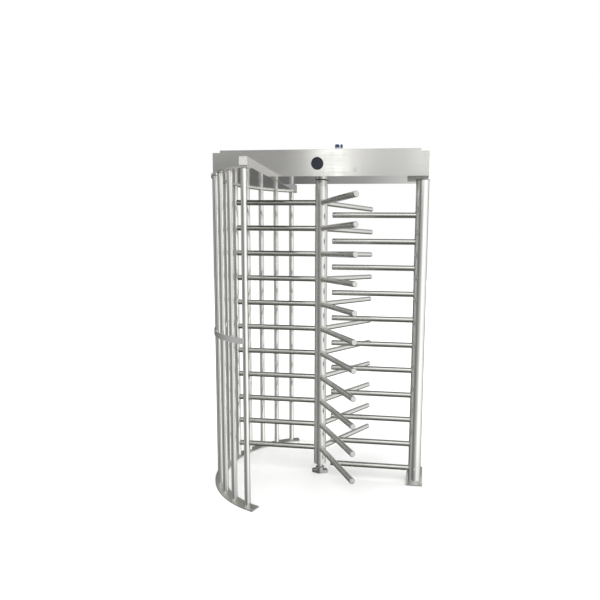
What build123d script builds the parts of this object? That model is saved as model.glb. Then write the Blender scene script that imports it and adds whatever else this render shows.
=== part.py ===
from build123d import *
import os
from math import cos, sin, tan, radians, pi, sqrt, acos

# Full-height single-lane visitor turnstile. Millimetres, +Z up.
# Origin: on the floor, on the rotor's axis. +X runs along the head housing towards the
# barrier post, -Y is the entry side.

# ---- driving dimensions -------------------------------------------------------------
LEVELS = 11                    # rotor arm levels, and as many fixed barrier bars
PITCH = 180                    # height from one level to the next
ARM_Z = 195                    # height of the lowest rotor arm
TUBE_R, TUBE_WALL = 19, 2      # arms, barrier bars and cage tubes
TIP_R = 621                    # rotor axis to arm tip
WINGS = {"wing_left": 180, "wing_front": -60, "wing_rear": 60}
END_CAP, CAP_ROUND = 6, 4      # thickness of the tube end caps, and the round of their rim

COLUMN_R, COLUMN_WALL = 44, 4
COLUMN_FOOT_Z, COLUMN_TOP_Z = 78, 2108

POST_X, POST_Y, POST_R, POST_WALL = 706, -60, 44, 3
FOOT_X, FOOT_Y, TOP_PLATE, PLATE_T = 116, 140, 140, 10      # plates at the post's foot and top
BOLT_SPACING_X, BOLT_SPACING_Y, POST_BOLT_R = 70, 106, 5.5
RIB_REACH, RIB_T, RIB_CORNER = 57, 6, 8        # ribs round the post's foot, measured from its axis
RIB_TOP_Z, RIB_TOP_UNDER_BAR = 120, 84
COMB_FREE_X = 91               # free end of the barrier bars

CAGE_X, CAGE_R = -63, 669      # centre and radius of the ring of cage tubes
CAGE_TUBES, CAGE_STEP = 12, 11.5
RING_HALF_W, RING_T, RING_HALF_ANGLE = 36, 8, 69
ANCHOR_R, END_ANCHOR_ANGLE = 6, 66.5
MID_RAIL_Z, MID_RAIL_H, MID_RAIL_T = 1092, 38, 4

ROOF_R, ROOF_X, ROOF_T = 693, -326, 4      # D-shaped roof: rim radius and chord position
TOP_RING_IN_R, TOP_RING_T = 633, 8         # flat ring under the roof, on the cage tubes
RAIL, RAIL_WALL, RAIL_CAP = 50, 3, 3

BEAM_X0, BEAM_X1, BEAM_HALF_Y = -720, 742, 190
BEAM_Z, BEAM_TOP = 2150, 2308
SHEET = 3
COVER_X0, COVER_X1, COVER_HALF_Y, COVER_TOP, COVER_T = -680, 690, 160, 2330, 2
HATCH_X0, HATCH_X1, HATCH_HALF_Y = -660, 670, 145
TAB_X, TAB_HALF_W, TAB_T, TAB_DROP, TAB_GAP = 400, 40, 2, 18, 0.2    # locating tabs of the cover

LAMP_X, LAMP_Z, LAMP_R = 5, 2233, 41
LAMP_BODY_R, LENS_R, LAMP_DEPTH = LAMP_R - 5, LAMP_R - 8, 24
KEY_X, KEY_Z, KEY_RIM_R, KEY_BODY_R, KEY_PLUG_R, KEY_BORE_R = 257, 2190, 12, 9, 6, 6.05
KEY_SLOT_HALF_W, KEY_SLOT_HALF_H, KEY_SLOT_DEPTH = 0.9, 4, 12
GLAND_Y, GLANDS = -120, ((128, 15, 8), (157, 8, 0))      # x, body radius, cable bore radius
GLAND_BASE_H, GLAND_H = 15, 37

FLANGE_BOLT_X, FLANGE_END_R, FLANGE_T = 45, 15, 26     # oval two-bolt bearing unit on the floor
BOSS_R, PEDESTAL_H, PEDESTAL_BOLT_R = 31, 48, 6.5
CUP_FLOOR_Z, LOWER_BEARING_R, LOWER_BEARING_Z, LOWER_BEARING_W = 15, 26, 24, 15
SPIGOT_LEN, NECK_R, STUB_R, STUB_END_Z = 24, 22, 12.5, 18   # plug in the column, neck, stub below
SHOULDER_R, COLLAR_R, SHAFT_TOP_Z = 25, 42, 2262

MODULE, GEAR_TEETH, PINION_TEETH, BACKLASH = 3, 60, 20, 0.25
SHAFT_R, PINION_SHAFT_R, FIT = 20, 8, 0.04
PINION_CLEAR_R, BUSH_R, HUB_R = 8.6, 12, 32
LIGHTENING_HOLES, LIGHTENING_AT_R, LIGHTENING_R = 6, 58, 18
NOTCHES, DISC_R, NOTCH_HALF_W, NOTCH_DEPTH = 12, 95, 7, 13
PAWL_X, PAWL_Y, PAWL_PIN_R, PAWL_EYE_R = -92, -75, 5, 13     # pivot of the lock pawl
PAWL_BACK_X, PAWL_BAR, NOSE_HALF_W, NOSE_GAP = -120, 12, 4.5, 3
SOLENOID_X0, SOLENOID_X1, SOLENOID_Y = -205, -140, -35
COIL_HALF_Y, COIL_HALF_Z, PLUNGER_R, PLUNGER_CLEAR_R, PUSH_ROD_R = 18, 16, 6, 6.3, 3.5

MECH_X0, MECH_X1, MECH_HALF_Y, MECH_OPENING_R = -215, 200, 150, 45
MECH_BOLTS = [(x, y) for x in (-200, 185) for y in (-135, 135)]
MECH_BOLT_R, BOLT_HEAD_R, BOLT_HEAD_H = 4, 6.5, 8
SHAFT_OPENING_R = 55           # opening for the drive shaft in the housing floor
BEARING_R, BEARING_W, BEARING_SHELF_R = 40, 18, 32
BEARING_BODY_R, BEARING_FLANGE_R, BEARING_FLANGE_T = 52, 70, 10
DAMPER_R, ENCODER_R, ENCODER_H = 28, 26, 24
BRIDGE_HALF_X, BRIDGE_HALF_Y, BRIDGE_POST_Y, BRIDGE_POST_R = 22, 75, 62, 8

# ---- heights of the mechanism ------------------------------------------------------
ROOF_Z = BEAM_Z - ROOF_T
TOP_RING_Z = ROOF_Z - TOP_RING_T
FLOOR_TOP = BEAM_Z + SHEET
MECH_T = 10
MECH_TOP = FLOOR_TOP + MECH_T
BEARING_Z = MECH_TOP + 12
GEAR_Z, GEAR_W = MECH_TOP + 40, 15
DISC_Z, DISC_T = GEAR_Z + 25, 8
BRIDGE_Z, BRIDGE_T = 2262, 8
PINION_X = MODULE * (GEAR_TEETH + PINION_TEETH) / 2

parts = {}


def save(name, *solids):
    """Keep one named piece; several solids make a set of identical or paired pieces."""
    solids = [s for g in solids for s in (g if isinstance(g, list) else [g])]
    parts[name] = solids[0] if len(solids) == 1 else Compound(children=solids)


def block(x0, x1, y0, y1, z0, z1):
    return Pos((x0 + x1) / 2, (y0 + y1) / 2, (z0 + z1) / 2) * Box(x1 - x0, y1 - y0, z1 - z0)


def disc(x, y, z0, z1, r):
    return Pos(x, y, (z0 + z1) / 2) * Cylinder(r, z1 - z0)


def pipe(x, y, z0, z1, r_out, r_in):
    return disc(x, y, z0, z1, r_out) - disc(x, y, z0 - 1, z1 + 1, r_in)


def rod_x(x0, x1, y, z, r):
    return Pos((x0 + x1) / 2, y, z) * Rot(0, 90, 0) * Cylinder(r, x1 - x0)


def rod_y(x, y0, y1, z, r):
    return Pos(x, (y0 + y1) / 2, z) * Rot(90, 0, 0) * Cylinder(r, y1 - y0)


def round_cap(r, thickness, edge):
    """Round cap with a rounded rim, its back on the YZ plane, facing +X."""
    cap = rod_x(0, thickness, 0, 0, r)
    return fillet(cap.edges().filter_by(GeomType.CIRCLE).sort_by(Axis.X)[-1], edge)


def level_heights(offset=0):
    return [ARM_Z + offset + PITCH * k for k in range(LEVELS)]


def cage_angle(i):
    """Angle of cage tube i from the -X direction; negative is the entry side."""
    return (i - (CAGE_TUBES - 1) / 2) * CAGE_STEP


def cage_point(angle, radius=CAGE_R):
    a = radians(angle)
    return CAGE_X - radius * cos(a), radius * sin(a)


def arc_band(r_in, r_out, z0, z1, start, end):
    """Flat band bent round the cage's centre, between two angles from the -X direction."""
    def at(r, a):
        return cage_point(a, r)
    mid = (start + end) / 2
    outline = [ThreePointArc(at(r_out, start), at(r_out, mid), at(r_out, end)),
               Line(at(r_out, end), at(r_in, end)),
               ThreePointArc(at(r_in, end), at(r_in, mid), at(r_in, start)),
               Line(at(r_in, start), at(r_out, start))]
    return Pos(0, 0, z0) * extrude(make_face(outline), z1 - z0)


def spur_gear(teeth, width, bore, phase=0):
    """Involute spur gear, 20 degree pressure angle, standing on the XY plane."""
    pitch_r = MODULE * teeth / 2
    base_r, root_r, tip_r = pitch_r * cos(radians(20)), pitch_r - 1.25 * MODULE, pitch_r + MODULE
    half = (pi * MODULE / 2 - BACKLASH) / (2 * pitch_r) + (tan(radians(20)) - radians(20))

    def flank(r):
        a = acos(min(1, base_r / r))
        return half - (tan(a) - a)

    start_r = max(base_r, root_r)
    radii = [start_r + (tip_r - start_r) * k / 4 for k in range(5)]
    points = []
    for t in range(teeth):
        mid = radians(phase) + 2 * pi * t / teeth
        side = [(root_r, flank(start_r))] if root_r < start_r else []
        side += [(r, flank(r)) for r in radii]
        for r, a in side:
            points.append((r * cos(mid - a), r * sin(mid - a)))
        for r, a in reversed(side):
            points.append((r * cos(mid + a), r * sin(mid + a)))
    gear = extrude(make_face(Polyline(*points, close=True)), width)
    return gear - Pos(0, 0, width / 2) * Cylinder(bore, width + 2)


end_cap = round_cap(TUBE_R, END_CAP, CAP_ROUND)


# ---- cage: base ring, tubes, mid rail, roof and chord rails ---------------------------
ring = arc_band(CAGE_R - RING_HALF_W, CAGE_R + RING_HALF_W, 0, RING_T,
                -RING_HALF_ANGLE, RING_HALF_ANGLE)
anchor_angles = [cage_angle(i) + CAGE_STEP / 2 for i in range(-1, CAGE_TUBES)]
anchor_angles[0], anchor_angles[-1] = -END_ANCHOR_ANGLE, END_ANCHOR_ANGLE
for a in anchor_angles:
    x, y = cage_point(a)
    ring -= disc(x, y, -1, RING_T + 1, ANCHOR_R)
save("base_ring", ring)

tubes = []
for i in range(CAGE_TUBES):
    x, y = cage_point(cage_angle(i))
    tubes.append(pipe(x, y, RING_T, TOP_RING_Z, TUBE_R, TUBE_R - TUBE_WALL))
save("cage_tubes_entry", tubes[:CAGE_TUBES // 2])
save("cage_tubes_exit", tubes[CAGE_TUBES // 2:])

save("mid_rail", arc_band(CAGE_R + TUBE_R, CAGE_R + TUBE_R + MID_RAIL_T,
                          MID_RAIL_Z - MID_RAIL_H / 2, MID_RAIL_Z + MID_RAIL_H / 2,
                          cage_angle(0), cage_angle(6)))

cage_side = block(-900, ROOF_X, -800, 800, TOP_RING_Z, BEAM_Z)
save("roof_plate", disc(CAGE_X, 0, ROOF_Z, BEAM_Z, ROOF_R) & cage_side)
save("roof_ring", pipe(CAGE_X, 0, TOP_RING_Z, ROOF_Z, ROOF_R, TOP_RING_IN_R) & cage_side)

roof_half = sqrt(ROOF_R ** 2 - (ROOF_X - CAGE_X) ** 2)
rails, caps = [], []
for side in (-1, 1):
    y0, y1 = sorted((side * BEAM_HALF_Y, side * (roof_half - RAIL_CAP)))
    rail = block(ROOF_X - RAIL, ROOF_X, y0, y1, BEAM_Z, BEAM_Z + RAIL)
    rail -= block(ROOF_X - RAIL + RAIL_WALL, ROOF_X - RAIL_WALL, y0 - 1, y1 + 1,
                  BEAM_Z + RAIL_WALL, BEAM_Z + RAIL - RAIL_WALL)
    rails.append(rail)
    c0, c1 = sorted((side * (roof_half - RAIL_CAP), side * roof_half))
    caps.append(block(ROOF_X - RAIL, ROOF_X, c0, c1, BEAM_Z, BEAM_Z + RAIL))
save("chord_rails", rails)
save("chord_rail_caps", caps)

# ---- barrier: post, plates, ribs and comb of bars -------------------------------------
foot = block(POST_X - FOOT_X / 2, POST_X + FOOT_X / 2, POST_Y - FOOT_Y / 2, POST_Y + FOOT_Y / 2,
             0, PLATE_T)
for sx in (-1, 1):
    for sy in (-1, 1):
        foot -= disc(POST_X + sx * BOLT_SPACING_X / 2, POST_Y + sy * BOLT_SPACING_Y / 2,
                     -1, PLATE_T + 1, POST_BOLT_R)
save("post_base_plate", foot)
save("post_tube", pipe(POST_X, POST_Y, PLATE_T, BEAM_Z - PLATE_T, POST_R, POST_R - POST_WALL))
save("post_top_plate", block(BEAM_X1 - TOP_PLATE, BEAM_X1, POST_Y - TOP_PLATE / 2,
                             POST_Y + TOP_PLATE / 2, BEAM_Z - PLATE_T, BEAM_Z))

post_solid = disc(POST_X, POST_Y, 0, BEAM_Z, POST_R)
ribs = []
for angle in (0, 90, 180, 270):
    top = RIB_TOP_UNDER_BAR if angle == 180 else RIB_TOP_Z
    rib = block(0, RIB_REACH, -RIB_T / 2, RIB_T / 2, PLATE_T, top)
    rib = chamfer(rib.edges().filter_by(Axis.Y).group_by(Axis.Z)[-1].sort_by(Axis.X)[-1], RIB_CORNER)
    ribs.append(Pos(POST_X, POST_Y, 0) * (Rot(0, 0, angle) * rib) - post_solid)
save("post_ribs", ribs)

bars, bar_caps = [], []
for z in level_heights(-PITCH / 2):
    bar = rod_x(COMB_FREE_X + END_CAP, POST_X, POST_Y, z, TUBE_R)
    bar -= rod_x(COMB_FREE_X, POST_X + 1, POST_Y, z, TUBE_R - TUBE_WALL)
    bars.append(bar - post_solid)
    bar_caps.append(Pos(COMB_FREE_X + END_CAP, POST_Y, z) * Rot(0, 0, 180) * end_cap)
save("barrier_bars", bars)
save("barrier_bar_caps", bar_caps)

# ---- rotor: column, three wings of arms, foot, collar and drive shaft ------------------
save("rotor_column", pipe(0, 0, COLUMN_FOOT_Z, COLUMN_TOP_Z, COLUMN_R, COLUMN_R - COLUMN_WALL))
column_solid = disc(0, 0, 0, BEAM_Z, COLUMN_R)
wing_caps = []
for name, angle in WINGS.items():
    arms = []
    for z in level_heights():
        arm = rod_x(0, TIP_R - END_CAP, 0, z, TUBE_R) - rod_x(-1, TIP_R, 0, z, TUBE_R - TUBE_WALL)
        arms.append(Rot(0, 0, angle) * (arm - column_solid))
        wing_caps.append(Rot(0, 0, angle) * Pos(TIP_R - END_CAP, 0, z) * end_cap)
    save(name, arms)
save("wing_arm_caps", wing_caps)

spigot_r = COLUMN_R - COLUMN_WALL
save("rotor_foot",
     disc(0, 0, COLUMN_FOOT_Z, COLUMN_FOOT_Z + SPIGOT_LEN, spigot_r)
     + disc(0, 0, PEDESTAL_H + 1, COLUMN_FOOT_Z, NECK_R)
     + disc(0, 0, STUB_END_Z, PEDESTAL_H + 1, STUB_R - FIT))
save("rotor_shaft",
     disc(0, 0, COLUMN_TOP_Z - SPIGOT_LEN, COLUMN_TOP_Z, spigot_r)
     + disc(0, 0, COLUMN_TOP_Z, BEAM_Z - 2, SHOULDER_R)
     + disc(0, 0, BEAM_Z - 2, SHAFT_TOP_Z, SHAFT_R - FIT))
save("rotor_collar", chamfer(pipe(0, 0, COLUMN_TOP_Z, BEAM_Z - 3, COLLAR_R, SHOULDER_R)
                             .edges().filter_by(GeomType.CIRCLE).group_by(SortBy.RADIUS)[-1], 1.5))

# ---- oval bearing unit on the floor under the rotor --------------------------------------
bolt_axes = (-FLANGE_BOLT_X, FLANGE_BOLT_X)
outline = Circle(BOSS_R).edges()
for x in bolt_axes:
    outline += (Pos(x, 0) * Circle(FLANGE_END_R)).edges()
flange = extrude(make_hull(outline), FLANGE_T)
flange = chamfer(flange.edges().group_by(Axis.Z)[-1], 2)
boss = chamfer(disc(0, 0, 0, PEDESTAL_H, BOSS_R).edges().group_by(Axis.Z)[-1], 2)
pedestal = flange + boss - disc(0, 0, CUP_FLOOR_Z, PEDESTAL_H + 1, LOWER_BEARING_R)
for x in bolt_axes:
    pedestal -= disc(x, 0, -1, FLANGE_T + 1, PEDESTAL_BOLT_R)
save("pedestal", pedestal)
save("bearing_lower", pipe(0, 0, LOWER_BEARING_Z, LOWER_BEARING_Z + LOWER_BEARING_W,
                           LOWER_BEARING_R, STUB_R))

# ---- head housing ---------------------------------------------------------------------
floor = block(BEAM_X0, BEAM_X1, -BEAM_HALF_Y, BEAM_HALF_Y, BEAM_Z, FLOOR_TOP)
floor -= disc(0, 0, BEAM_Z - 1, FLOOR_TOP + 1, SHAFT_OPENING_R)
for x, y in MECH_BOLTS:
    floor -= disc(x, y, BEAM_Z - 1, FLOOR_TOP + 1, MECH_BOLT_R)
save("housing_floor", floor)

inner_y = BEAM_HALF_Y - SHEET
front = block(BEAM_X0, BEAM_X1, -BEAM_HALF_Y, -inner_y, FLOOR_TOP, BEAM_TOP)
front -= rod_y(LAMP_X, -BEAM_HALF_Y - 1, -inner_y + 1, LAMP_Z, LAMP_BODY_R)
front -= rod_y(KEY_X, -BEAM_HALF_Y - 1, -inner_y + 1, KEY_Z, KEY_BODY_R)
rear = block(BEAM_X0, BEAM_X1, inner_y, BEAM_HALF_Y, FLOOR_TOP, BEAM_TOP)
rear -= rod_y(LAMP_X, inner_y - 1, BEAM_HALF_Y + 1, LAMP_Z, LAMP_BODY_R)
save("fascia_entry", front)
save("fascia_exit", rear)
save("end_panels", [block(x, x + SHEET, -inner_y, inner_y, FLOOR_TOP, BEAM_TOP)
                    for x in (BEAM_X0, BEAM_X1 - SHEET)])
frame_top = block(BEAM_X0 + SHEET, BEAM_X1 - SHEET, -inner_y, inner_y, BEAM_TOP - SHEET, BEAM_TOP)
frame_top -= block(HATCH_X0, HATCH_X1, -HATCH_HALF_Y, HATCH_HALF_Y, BEAM_TOP - 9, BEAM_TOP + 1)
save("top_frame", frame_top)

cover = block(COVER_X0, COVER_X1, -COVER_HALF_Y, COVER_HALF_Y, BEAM_TOP, COVER_TOP)
cover = chamfer(cover.edges().group_by(Axis.Z)[-1], 1)
cover -= block(COVER_X0 + COVER_T, COVER_X1 - COVER_T, -COVER_HALF_Y + COVER_T,
               COVER_HALF_Y - COVER_T, BEAM_TOP - 1, COVER_TOP - COVER_T)
for x in (-TAB_X, TAB_X):
    for side in (-1, 1):
        y0, y1 = sorted((side * (HATCH_HALF_Y - TAB_GAP), side * (HATCH_HALF_Y - TAB_GAP - TAB_T)))
        cover += block(x - TAB_HALF_W, x + TAB_HALF_W, y0, y1, BEAM_TOP - TAB_DROP, COVER_TOP - COVER_T)
cover -= disc(GLANDS[0][0], GLAND_Y, BEAM_TOP, COVER_TOP + 1, GLANDS[0][2])
save("top_cover", cover)

bases, domes = [], []
for x, r, bore in GLANDS:
    base = disc(x, GLAND_Y, COVER_TOP, COVER_TOP + GLAND_BASE_H, r)
    dome = disc(x, GLAND_Y, COVER_TOP + GLAND_BASE_H, COVER_TOP + GLAND_H, r)
    dome = chamfer(dome.edges().group_by(Axis.Z)[-1], r * 0.25)
    if bore:
        cable = disc(x, GLAND_Y, COVER_TOP - 5, COVER_TOP + 50, bore)
        base, dome = base - cable, dome - cable
    bases.append(base)
    domes.append(dome)
save("gland_bases", bases)
save("gland_nuts", domes)

# ---- passage lamps on both faces, key switch on the entry face ------------------------
bezels, lenses, boards = [], [], []
for side in (-1, 1):
    def along(out0, out1, r):
        """Cylinder through the fascia, between two distances out from its outer face."""
        y0, y1 = sorted((side * (BEAM_HALF_Y + out0), side * (BEAM_HALF_Y + out1)))
        return rod_y(LAMP_X, y0, y1, LAMP_Z, r)
    bezels.append(along(0, 6, LAMP_R) + along(-LAMP_DEPTH, 0, LAMP_BODY_R)
                  - along(-LAMP_DEPTH - 1, 7, LENS_R))
    lenses.append(along(-6, 4, LENS_R))
    boards.append(along(-LAMP_DEPTH, -LAMP_DEPTH + 4, LENS_R))
save("lamp_bezels", bezels)
save("lamp_lenses", lenses)
save("lamp_boards", boards)

key_face, key_back = -BEAM_HALF_Y - 3, -BEAM_HALF_Y + 42
switch = rod_y(KEY_X, key_face, -BEAM_HALF_Y, KEY_Z, KEY_RIM_R)
switch += rod_y(KEY_X, -BEAM_HALF_Y, key_back, KEY_Z, KEY_BODY_R)
save("key_switch_body", switch - rod_y(KEY_X, key_face - 1, key_back - 4, KEY_Z, KEY_BORE_R))
plug = rod_y(KEY_X, key_face, key_back - 5, KEY_Z, KEY_PLUG_R)
save("key_plug", plug - block(KEY_X - KEY_SLOT_HALF_W, KEY_X + KEY_SLOT_HALF_W, key_face - 1,
                              key_face + KEY_SLOT_DEPTH, KEY_Z - KEY_SLOT_HALF_H,
                              KEY_Z + KEY_SLOT_HALF_H))

# ---- mechanism in the head -------------------------------------------------------------
mech = block(MECH_X0, MECH_X1, -MECH_HALF_Y, MECH_HALF_Y, FLOOR_TOP, MECH_TOP)
mech -= disc(0, 0, FLOOR_TOP - 1, MECH_TOP + 1, MECH_OPENING_R)
mech -= disc(PINION_X, 0, FLOOR_TOP - 1, MECH_TOP + 1, BUSH_R)
screws = []
for x, y in MECH_BOLTS:
    mech -= disc(x, y, FLOOR_TOP - 1, MECH_TOP + 1, MECH_BOLT_R)
    screws.append(disc(x, y, BEAM_Z, MECH_TOP, MECH_BOLT_R)
                  + disc(x, y, MECH_TOP, MECH_TOP + BOLT_HEAD_H, BOLT_HEAD_R))
save("mechanism_plate", mech)
save("mechanism_screws", screws)

flange_top, housing_top = MECH_TOP + BEARING_FLANGE_T, BEARING_Z + BEARING_W + 2
housing = disc(0, 0, MECH_TOP, flange_top, BEARING_FLANGE_R)
housing += disc(0, 0, flange_top, housing_top, BEARING_BODY_R)
housing -= disc(0, 0, MECH_TOP - 1, BEARING_Z, BEARING_SHELF_R)
housing -= disc(0, 0, BEARING_Z, housing_top + 1, BEARING_R)
save("bearing_housing", housing)
save("bearing_upper", pipe(0, 0, BEARING_Z, BEARING_Z + BEARING_W, BEARING_R, SHAFT_R))

gear = Pos(0, 0, GEAR_Z) * spur_gear(GEAR_TEETH, GEAR_W, SHAFT_R - FIT)
for k in range(LIGHTENING_HOLES):
    a = radians(360 / LIGHTENING_HOLES * (k + 0.5))
    gear -= disc(LIGHTENING_AT_R * cos(a), LIGHTENING_AT_R * sin(a), GEAR_Z - 1, GEAR_Z + GEAR_W + 1,
                 LIGHTENING_R)
save("drive_gear", gear + pipe(0, 0, GEAR_Z - 6, GEAR_Z, HUB_R, SHAFT_R - FIT))
index = disc(0, 0, DISC_Z, DISC_Z + DISC_T, DISC_R) + disc(0, 0, GEAR_Z + GEAR_W, DISC_Z, HUB_R)
index -= disc(0, 0, GEAR_Z, DISC_Z + 20, SHAFT_R - FIT)
notch = block(DISC_R - NOTCH_DEPTH, DISC_R + 5, -NOTCH_HALF_W, NOTCH_HALF_W, DISC_Z - 1, DISC_Z + DISC_T + 1)
for k in range(NOTCHES):
    index -= Rot(0, 0, 360 / NOTCHES * k) * notch
save("index_disc", index)
save("shaft_nut", pipe(0, 0, DISC_Z + DISC_T, DISC_Z + DISC_T + 12, 34, SHAFT_R - FIT))

pinion = spur_gear(PINION_TEETH, GEAR_W + 4, PINION_SHAFT_R - FIT, phase=180 / PINION_TEETH)
save("counter_pinion", Pos(PINION_X, 0, GEAR_Z - 2) * pinion)
save("pinion_shaft", disc(PINION_X, 0, FLOOR_TOP + 2, BRIDGE_Z + 18, PINION_SHAFT_R - FIT))
bushes = [pipe(PINION_X, 0, FLOOR_TOP, MECH_TOP, BUSH_R, PINION_SHAFT_R),
          pipe(PINION_X, 0, BRIDGE_Z, BRIDGE_Z + BRIDGE_T, BUSH_R, PINION_SHAFT_R)]
save("pinion_bushes", bushes)
save("rotary_damper", pipe(PINION_X, 0, MECH_TOP, GEAR_Z - 8, DAMPER_R, PINION_CLEAR_R))
bridge = block(PINION_X - BRIDGE_HALF_X, PINION_X + BRIDGE_HALF_X, -BRIDGE_HALF_Y, BRIDGE_HALF_Y,
               BRIDGE_Z, BRIDGE_Z + BRIDGE_T)
bridge -= disc(PINION_X, 0, BRIDGE_Z - 1, BRIDGE_Z + BRIDGE_T + 1, BUSH_R)
for y in (-BRIDGE_POST_Y, BRIDGE_POST_Y):
    bridge += disc(PINION_X, y, MECH_TOP, BRIDGE_Z, BRIDGE_POST_R)
save("encoder_bridge", bridge)
encoder = disc(PINION_X, 0, BRIDGE_Z + BRIDGE_T, BRIDGE_Z + BRIDGE_T + ENCODER_H, ENCODER_R)
save("counter_encoder", encoder - disc(PINION_X, 0, BRIDGE_Z, BRIDGE_Z + 22, PINION_CLEAR_R))

# lock pawl, its pivot post, and the solenoid that pushes it
bar_x = PAWL_BACK_X + PAWL_BAR
pawl = block(PAWL_BACK_X, bar_x, PAWL_Y - 7, NOSE_HALF_W, DISC_Z, DISC_Z + DISC_T)
pawl += block(PAWL_BACK_X, PAWL_X, PAWL_Y - 7, PAWL_Y + PAWL_EYE_R, DISC_Z, DISC_Z + DISC_T)
pawl += disc(PAWL_X, PAWL_Y, DISC_Z, DISC_Z + DISC_T, PAWL_EYE_R)
pawl += block(bar_x, -DISC_R - NOSE_GAP, -NOSE_HALF_W, NOSE_HALF_W, DISC_Z, DISC_Z + DISC_T)
save("lock_pawl", pawl - disc(PAWL_X, PAWL_Y, DISC_Z - 1, DISC_Z + DISC_T + 1, PAWL_PIN_R))
pivot = disc(PAWL_X, PAWL_Y, MECH_TOP, DISC_Z - 1, PAWL_EYE_R - 1)
pivot += disc(PAWL_X, PAWL_Y, DISC_Z - 1, DISC_Z + 9, PAWL_PIN_R - FIT)
save("pawl_pivot", pivot + disc(PAWL_X, PAWL_Y, DISC_Z + 9, DISC_Z + 13, 9))
axis_z = DISC_Z + DISC_T / 2
coil = block(SOLENOID_X0, SOLENOID_X1, SOLENOID_Y - COIL_HALF_Y, SOLENOID_Y + COIL_HALF_Y,
             axis_z - COIL_HALF_Z, axis_z + COIL_HALF_Z)
coil += block(SOLENOID_X0 + 5, SOLENOID_X1 - 5, SOLENOID_Y - 12, SOLENOID_Y + 12, MECH_TOP,
              axis_z - COIL_HALF_Z)
save("solenoid", coil - rod_x(SOLENOID_X0 + 5, SOLENOID_X1 + 1, SOLENOID_Y, axis_z, PLUNGER_CLEAR_R))
save("solenoid_plunger", rod_x(SOLENOID_X0 + 7, SOLENOID_X1, SOLENOID_Y, axis_z, PLUNGER_R)
     + rod_x(SOLENOID_X1, PAWL_BACK_X - 1, SOLENOID_Y, axis_z, PUSH_ROD_R))

# ---- electronics in the head: places along X, then sizes --------------------------------
BOARD_X0, BOARD_X1, BOARD_HALF_Y, BOARD_STAND_OFF, BOARD_T = 300, 540, 80, 17, 2
SUPPLY_X0, SUPPLY_X1, SUPPLY_HALF_Y, SUPPLY_H = -620, -440, 60, 48
TERMINAL_X0, TERMINAL_X1, TERMINAL_HALF_Y, TERMINAL_H = -400, -290, 22, 36
WELLS, WELL_STEP, WELL_Y, WELL_R, WELL_DEPTH = 8, 13, 10, 4, 6
COUNTER_X0, COUNTER_X1, COUNTER_HALF_Y, COUNTER_H = 580, 670, 55, 60

under, face = FLOOR_TOP + BOARD_STAND_OFF, FLOOR_TOP + BOARD_STAND_OFF + BOARD_T
save("control_board", block(BOARD_X0, BOARD_X1, -BOARD_HALF_Y, BOARD_HALF_Y, under, face))
pillars = [disc(x, y, FLOOR_TOP, under, 4) for x in (BOARD_X0 + 15, BOARD_X1 - 15)
           for y in (15 - BOARD_HALF_Y, BOARD_HALF_Y - 15)]
relays = [block(x, x + 30, 20, 50, face, face + 22) for x in range(BOARD_X0 + 20, BOARD_X0 + 200, 45)]
plugs = [block(x, x + 40, -72, -60, face, face + 14) for x in range(BOARD_X0 + 20, BOARD_X0 + 220, 50)]
capacitors = [disc(x, -20, face, face + 28, 9) for x in range(BOARD_X0 + 70, BOARD_X0 + 190, 40)]
processor = block(BOARD_X1 - 60, BOARD_X1 - 20, -35, 5, face, face + 4)
save("board_components", pillars, relays, plugs, capacitors, processor)
window = block(COUNTER_X0 + 10, COUNTER_X1 - 10, -40, 0, FLOOR_TOP + COUNTER_H - 2,
               FLOOR_TOP + COUNTER_H + 1)
save("counter_module", block(COUNTER_X0, COUNTER_X1, -COUNTER_HALF_Y, COUNTER_HALF_Y, FLOOR_TOP,
                             FLOOR_TOP + COUNTER_H) - window)
save("power_supply", block(SUPPLY_X0, SUPPLY_X1, -SUPPLY_HALF_Y, SUPPLY_HALF_Y, FLOOR_TOP,
                           FLOOR_TOP + SUPPLY_H))
terminals = block(TERMINAL_X0, TERMINAL_X1, -TERMINAL_HALF_Y, TERMINAL_HALF_Y, FLOOR_TOP,
                  FLOOR_TOP + TERMINAL_H)
for k in range(WELLS):
    for y in (-WELL_Y, WELL_Y):
        terminals -= disc(TERMINAL_X0 + 9 + WELL_STEP * k, y, FLOOR_TOP + TERMINAL_H - WELL_DEPTH,
                          FLOOR_TOP + TERMINAL_H + 1, WELL_R)
save("terminal_block", terminals)

os.makedirs("parts", exist_ok=True)
for name, shape in parts.items():
    export_step(shape, f"parts/{name}.step")
print(len(parts), "nodes")
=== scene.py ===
"""Looks for the full-height visitor turnstile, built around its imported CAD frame. Metres."""
import math

import bmesh
import bpy
from mathutils import Matrix, Vector


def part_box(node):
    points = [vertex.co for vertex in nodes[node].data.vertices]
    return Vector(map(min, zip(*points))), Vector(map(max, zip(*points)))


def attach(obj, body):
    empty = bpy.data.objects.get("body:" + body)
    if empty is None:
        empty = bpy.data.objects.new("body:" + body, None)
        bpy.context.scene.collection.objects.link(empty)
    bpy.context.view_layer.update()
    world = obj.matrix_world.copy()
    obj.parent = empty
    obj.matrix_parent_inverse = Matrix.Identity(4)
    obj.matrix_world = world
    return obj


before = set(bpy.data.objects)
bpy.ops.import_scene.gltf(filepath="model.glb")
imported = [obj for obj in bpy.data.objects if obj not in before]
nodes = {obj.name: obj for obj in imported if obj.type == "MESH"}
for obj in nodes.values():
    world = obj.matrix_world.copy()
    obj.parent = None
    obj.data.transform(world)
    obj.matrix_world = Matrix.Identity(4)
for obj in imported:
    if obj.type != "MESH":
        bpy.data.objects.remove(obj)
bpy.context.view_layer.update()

WING_ANGLES = {"wing_left": 180, "wing_front": -60, "wing_rear": 60}


# ---- materials ----------------------------------------------------------------------------
STEEL = (0.66, 0.657, 0.636)
SHEET_STEEL = (0.70, 0.696, 0.670)
GRIME = (0.30, 0.29, 0.25)
WORN = (0.42, 0.41, 0.38)
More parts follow.
